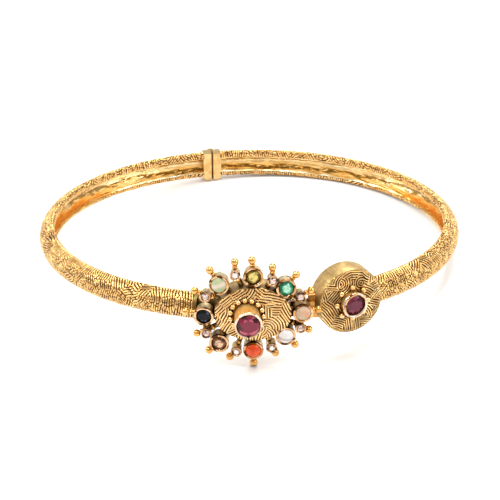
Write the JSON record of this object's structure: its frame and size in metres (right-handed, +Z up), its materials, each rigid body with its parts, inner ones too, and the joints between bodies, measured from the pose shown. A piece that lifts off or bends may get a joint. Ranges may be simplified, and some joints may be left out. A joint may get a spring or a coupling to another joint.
{
  "type": "navaratna bangle",
  "caption": "Hinged oval gold bangle with wire patterned bands, a gem cluster round a raised ruby, and a round gem-set case that holds the catch.",
  "frame": {"origin": "centre of the outline at the height of the surface that the bangle lies on", "axes": "+Z up, -Y towards the cluster at the front, +X towards the round case; the ring is tilted as it rests on the cluster's lowest ball and the back of the band"},
  "size_m": [0.0636, 0.0612, 0.0174],
  "materials": {
    "wired_gold": "gold with fine applied wire, bright on the wires and darker between",
    "plain_gold": "pale brushed gold",
    "collar_gold": "polished reddish gold",
    "ruby": "polished, faceted, purplish red",
    "yellow_sapphire": "polished, faceted, olive yellow",
    "emerald": "polished, faceted, green",
    "opal": "polished dome, milky pink with green and orange flecks",
    "pearl": "white pearl lustre",
    "coral": "polished dome, opaque orange red",
    "hessonite": "polished, faceted, brown orange",
    "blue_sapphire": "polished, faceted, near black blue",
    "cats_eye": "polished dome, pale green with a pale band",
    "diamond": "polished, small, old cut, slightly pink"
  },
  "bodies": {
    "cluster_half": {"left_band": "wired_gold", "left_hinge_leaf": "plain_gold", "hinge_pin": "plain_gold", "cluster_frame": "collar_gold", "cluster_dome": "wired_gold", "ruby": "ruby", "yellow_sapphire": "yellow_sapphire", "emerald": "emerald", "opal": "opal", "pearl": "pearl", "coral": "coral", "hessonite": "hessonite", "blue_sapphire": "blue_sapphire", "cats_eye": "cats_eye", "diamond_1": "diamond", "diamond_2": "diamond", "diamond_3": "diamond", "diamond_4": "diamond", "diamond_5": "diamond", "diamond_6": "diamond", "diamond_7": "diamond", "diamond_8": "diamond"},
    "drum_half": {"right_band": "wired_gold", "right_hinge_leaf": "plain_gold", "drum_case": "plain_gold", "drum_dome": "wired_gold", "drum_ruby": "ruby"}
  },
  "joints": [
    {"name": "back_hinge", "type": "hinge", "parent": "cluster_half", "child": "drum_half", "pos_m": [-0.00622, 0.02959, 0.00232], "axis": [0.0496, 0.1099, 0.9927], "range_deg": [0, 50]}
  ]
}
